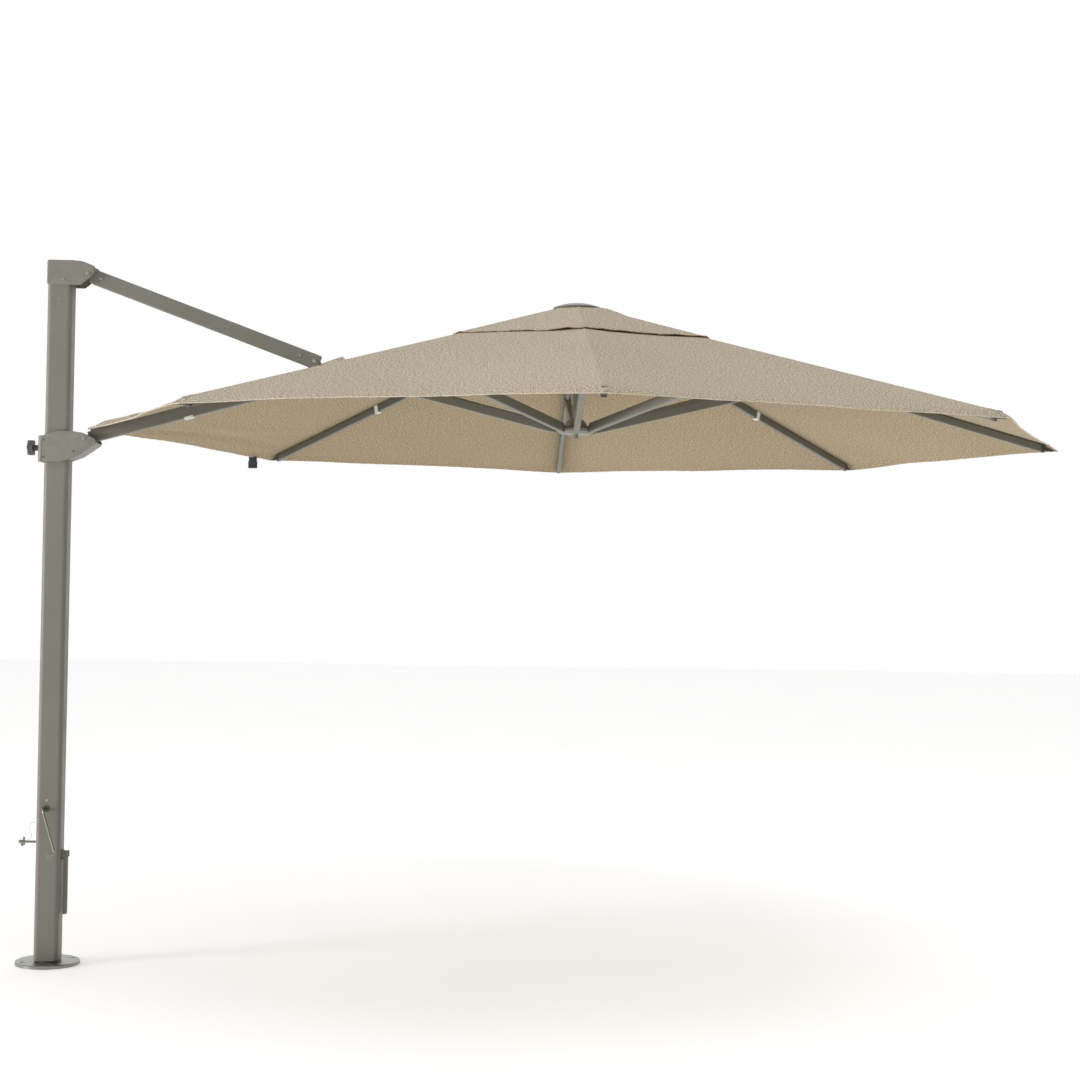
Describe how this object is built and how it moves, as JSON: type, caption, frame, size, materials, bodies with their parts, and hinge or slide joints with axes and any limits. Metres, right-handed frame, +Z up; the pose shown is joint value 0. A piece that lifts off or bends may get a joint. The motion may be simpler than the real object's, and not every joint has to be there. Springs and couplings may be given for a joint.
{
  "type": "cantilever parasol",
  "caption": "Side-post garden parasol: a turning mast, a winched carriage, a strut-braced arm and an umbrella frame under a vented octagonal fabric canopy.",
  "frame": {"origin": "centre of the base plate's underside, on the mast's axis", "axes": "+X from the mast along the arm towards the canopy, +Z up, +Y away from the crank"},
  "size_m": [4.241, 4, 2.858],
  "materials": {
    "powder_taupe": "satin",
    "base_steel": "satin",
    "stainless": "satin",
    "chrome": "gloss",
    "cast_alloy": "satin",
    "rib_alloy": "satin",
    "dark_plastic": "matte",
    "glide_plastic": "matte",
    "grip_grey": "satin",
    "gear_steel": "satin",
    "canopy_fabric": "matte",
    "cord_fabric": "matte",
    "white_webbing": "matte",
    "wire_steel": "satin"
  },
  "bodies": {
    "base": {"base_plate": "base_steel", "spigot_tube": "gear_steel", "thrust_washer": "dark_plastic"},
    "mast": {"mast_tube": "powder_taupe", "mast_bushes": "glide_plastic", "top_cap": "cast_alloy", "mast_screws": "stainless", "mast_grommets": "dark_plastic", "strut_pivot_pin": "stainless", "hoist_axles": "gear_steel", "winch_frame": "gear_steel", "hoist_cord": "cord_fabric", "lever_bracket": "powder_taupe", "lanyard": "wire_steel"},
    "crank": {"crank_rod": "chrome", "drive_pinion": "gear_steel"},
    "grip": {"crank_grip": "grip_grey"},
    "drum": {"winch_drum": "dark_plastic"},
    "sheave": {"head_sheave": "dark_plastic"},
    "lever": {"turn_lever": "powder_taupe"},
    "lock": {"lock_pin": "stainless"},
    "strut": {"strut_tube": "powder_taupe", "strut_top_fitting": "cast_alloy", "strut_end_fitting": "cast_alloy", "strut_bolts": "stainless", "elbow_pin": "stainless"},
    "arm": {"arm_tube": "powder_taupe", "arm_heel": "cast_alloy", "arm_bracket": "cast_alloy", "arm_nose": "cast_alloy"},
    "carriage": {"carriage_body": "cast_alloy", "carriage_rear_cover": "cast_alloy", "carriage_glides": "dark_plastic", "arm_pivot_pin": "stainless", "carriage_screws": "stainless", "cord_clamp": "cast_alloy"},
    "knob": {"carriage_knob": "dark_plastic"},
    "hub": {"top_hub": "cast_alloy", "top_hub_pins": "stainless", "finial": "cast_alloy", "upper_guide_tube": "powder_taupe", "canopy": "canopy_fabric"},
    "lower_hub": {"lower_hub": "cast_alloy", "lower_hub_pins": "stainless", "lower_guide_tube": "powder_taupe"},
    "rib_1": {"rib_1": "rib_alloy"},
    "rib_2": {"rib_2": "rib_alloy"},
    "rib_3": {"rib_3": "rib_alloy"},
    "rib_4": {"rib_4": "rib_alloy"},
    "rib_5": {"rib_5": "rib_alloy"},
    "rib_6": {"rib_6": "rib_alloy"},
    "rib_7": {"rib_7": "rib_alloy"},
    "stretcher_1": {"stretcher_1": "rib_alloy"},
    "stretcher_2": {"stretcher_2": "rib_alloy"},
    "stretcher_3": {"stretcher_3": "rib_alloy"},
    "stretcher_4": {"stretcher_4": "rib_alloy"},
    "stretcher_5": {"stretcher_5": "rib_alloy"},
    "stretcher_6": {"stretcher_6": "rib_alloy"},
    "stretcher_7": {"stretcher_7": "rib_alloy"},
    "stretcher_8": {"stretcher_8": "rib_alloy"}
  },
  "joints": [
    {"name": "mast_turn", "type": "hinge", "parent": "base", "child": "mast", "pos_m": [0, 0, 0.018], "axis": [0, 0, 1], "continuous": true},
    {"name": "canopy_fold", "type": "hinge", "parent": "mast", "child": "strut", "pos_m": [0.112, 0, 2.804], "axis": [0, 1, 0], "range_deg": [0, 68], "deforming": ["canopy"]},
    {"name": "arm_pivot", "type": "hinge", "parent": "strut", "child": "arm", "pos_m": [1.03537, 0, 2.46683], "axis": [0, 1, 0], "range_deg": [-136, 0]},
    {"name": "carriage_pivot", "type": "hinge", "parent": "arm", "child": "carriage", "pos_m": [0.112, 0, 2.12965], "axis": [0, 1, 0], "range_deg": [0, 68]},
    {"name": "hub_pivot", "type": "hinge", "parent": "arm", "child": "hub", "pos_m": [2.048, 0, 2.64], "axis": [0, 1, 0], "range_deg": [0, 68]},
    {"name": "crank_turn", "type": "hinge", "parent": "mast", "child": "crank", "pos_m": [-0.01, 0, 0.631], "axis": [0, -1, 0], "continuous": true},
    {"name": "grip_spin", "type": "hinge", "parent": "crank", "child": "grip", "pos_m": [0.04085, -0.15, 0.46042], "axis": [0, -1, 0], "continuous": true},
    {"name": "drum_spin", "type": "hinge", "parent": "mast", "child": "drum", "pos_m": [-0.004, 0, 0.5951], "axis": [0, -1, 0], "continuous": true},
    {"name": "sheave_spin", "type": "hinge", "parent": "mast", "child": "sheave", "pos_m": [-0.004, 0, 2.7], "axis": [0, -1, 0], "continuous": true},
    {"name": "lever_lift", "type": "hinge", "parent": "mast", "child": "lever", "pos_m": [0.065, 0, 0.444], "axis": [0, -1, 0], "range_deg": [0, 90]},
    {"name": "lock_pin_pull", "type": "slide", "parent": "mast", "child": "lock", "axis": [-1, 0, 0], "range_m": [0, 0.05]},
    {"name": "knob_turn", "type": "hinge", "parent": "carriage", "child": "knob", "pos_m": [-0.11, 0, 2.093], "axis": [-1, 0, 0], "continuous": true},
    {"name": "rib_1_fold", "type": "hinge", "parent": "hub", "child": "rib_1", "pos_m": [2.176, 0, 2.64], "axis": [0, 1, 0], "range_deg": [0, 68]},
    {"name": "rib_2_fold", "type": "hinge", "parent": "hub", "child": "rib_2", "pos_m": [2.15726, 0.04525, 2.64], "axis": [-0.7071, 0.7071, 0], "range_deg": [0, 68]},
    {"name": "rib_3_fold", "type": "hinge", "parent": "hub", "child": "rib_3", "pos_m": [2.112, 0.064, 2.64], "axis": [-1, 0, 0], "range_deg": [0, 68]},
    {"name": "rib_4_fold", "type": "hinge", "parent": "hub", "child": "rib_4", "pos_m": [2.06675, 0.04525, 2.64], "axis": [-0.7071, -0.7071, 0], "range_deg": [0, 68]},
    {"name": "rib_5_fold", "type": "hinge", "parent": "hub", "child": "rib_5", "pos_m": [2.06675, -0.04525, 2.64], "axis": [0.7071, -0.7071, 0], "range_deg": [0, 68]},
    {"name": "rib_6_fold", "type": "hinge", "parent": "hub", "child": "rib_6", "pos_m": [2.112, -0.064, 2.64], "axis": [1, 0, 0], "range_deg": [0, 68]},
    {"name": "rib_7_fold", "type": "hinge", "parent": "hub", "child": "rib_7", "pos_m": [2.15726, -0.04525, 2.64], "axis": [0.7071, 0.7071, 0], "range_deg": [0, 68]},
    {"name": "stretcher_1_fold", "type": "hinge", "parent": "rib_1", "child": "stretcher_1", "pos_m": [3.0681, 0, 2.42178], "axis": [0, 1, 0], "range_deg": [-136, 0]},
    {"name": "stretcher_2_fold", "type": "hinge", "parent": "rib_2", "child": "stretcher_2", "pos_m": [2.78806, 0.67606, 2.42178], "axis": [-0.7071, 0.7071, 0], "range_deg": [-136, 0]},
    {"name": "stretcher_3_fold", "type": "hinge", "parent": "rib_3", "child": "stretcher_3", "pos_m": [2.112, 0.9561, 2.42178], "axis": [-1, 0, 0], "range_deg": [-136, 0]},
    {"name": "stretcher_4_fold", "type": "hinge", "parent": "rib_4", "child": "stretcher_4", "pos_m": [1.43594, 0.67606, 2.42178], "axis": [-0.7071, -0.7071, 0], "range_deg": [-136, 0]},
    {"name": "stretcher_5_fold", "type": "hinge", "parent": "rib_5", "child": "stretcher_5", "pos_m": [1.43594, -0.67606, 2.42178], "axis": [0.7071, -0.7071, 0], "range_deg": [-136, 0]},
    {"name": "stretcher_6_fold", "type": "hinge", "parent": "rib_6", "child": "stretcher_6", "pos_m": [2.112, -0.9561, 2.42178], "axis": [1, 0, 0], "range_deg": [-136, 0]},
    {"name": "stretcher_7_fold", "type": "hinge", "parent": "rib_7", "child": "stretcher_7", "pos_m": [2.78806, -0.67606, 2.42178], "axis": [0.7071, 0.7071, 0], "range_deg": [-136, 0]},
    {"name": "stretcher_8_fold", "type": "hinge", "parent": "arm", "child": "stretcher_8", "pos_m": [1.1559, 0, 2.42178], "axis": [0, -1, 0], "range_deg": [-136, 0]},
    {"name": "lower_hub_pivot", "type": "hinge", "parent": "stretcher_1", "child": "lower_hub", "pos_m": [2.176, 0, 2.20357], "axis": [0, 1, 0], "range_deg": [0, 68]}
  ],
  "couplings": [
    {"joint": "arm_pivot", "follows": "canopy_fold", "ratio": -2},
    {"joint": "carriage_pivot", "follows": "canopy_fold", "ratio": 1},
    {"joint": "hub_pivot", "follows": "canopy_fold", "ratio": 1},
    {"joint": "drum_spin", "follows": "crank_turn", "ratio": -0.45},
    {"joint": "sheave_spin", "follows": "crank_turn", "ratio": -0.45},
    {"joint": "rib_1_fold", "follows": "canopy_fold", "ratio": 1},
    {"joint": "rib_2_fold", "follows": "canopy_fold", "ratio": 1},
    {"joint": "rib_3_fold", "follows": "canopy_fold", "ratio": 1},
    {"joint": "rib_4_fold", "follows": "canopy_fold", "ratio": 1},
    {"joint": "rib_5_fold", "follows": "canopy_fold", "ratio": 1},
    {"joint": "rib_6_fold", "follows": "canopy_fold", "ratio": 1},
    {"joint": "rib_7_fold", "follows": "canopy_fold", "ratio": 1},
    {"joint": "stretcher_1_fold", "follows": "canopy_fold", "ratio": -2},
    {"joint": "stretcher_2_fold", "follows": "canopy_fold", "ratio": -2},
    {"joint": "stretcher_3_fold", "follows": "canopy_fold", "ratio": -2},
    {"joint": "stretcher_4_fold", "follows": "canopy_fold", "ratio": -2},
    {"joint": "stretcher_5_fold", "follows": "canopy_fold", "ratio": -2},
    {"joint": "stretcher_6_fold", "follows": "canopy_fold", "ratio": -2},
    {"joint": "stretcher_7_fold", "follows": "canopy_fold", "ratio": -2},
    {"joint": "stretcher_8_fold", "follows": "canopy_fold", "ratio": -2},
    {"joint": "lower_hub_pivot", "follows": "canopy_fold", "ratio": 1}
  ]
}
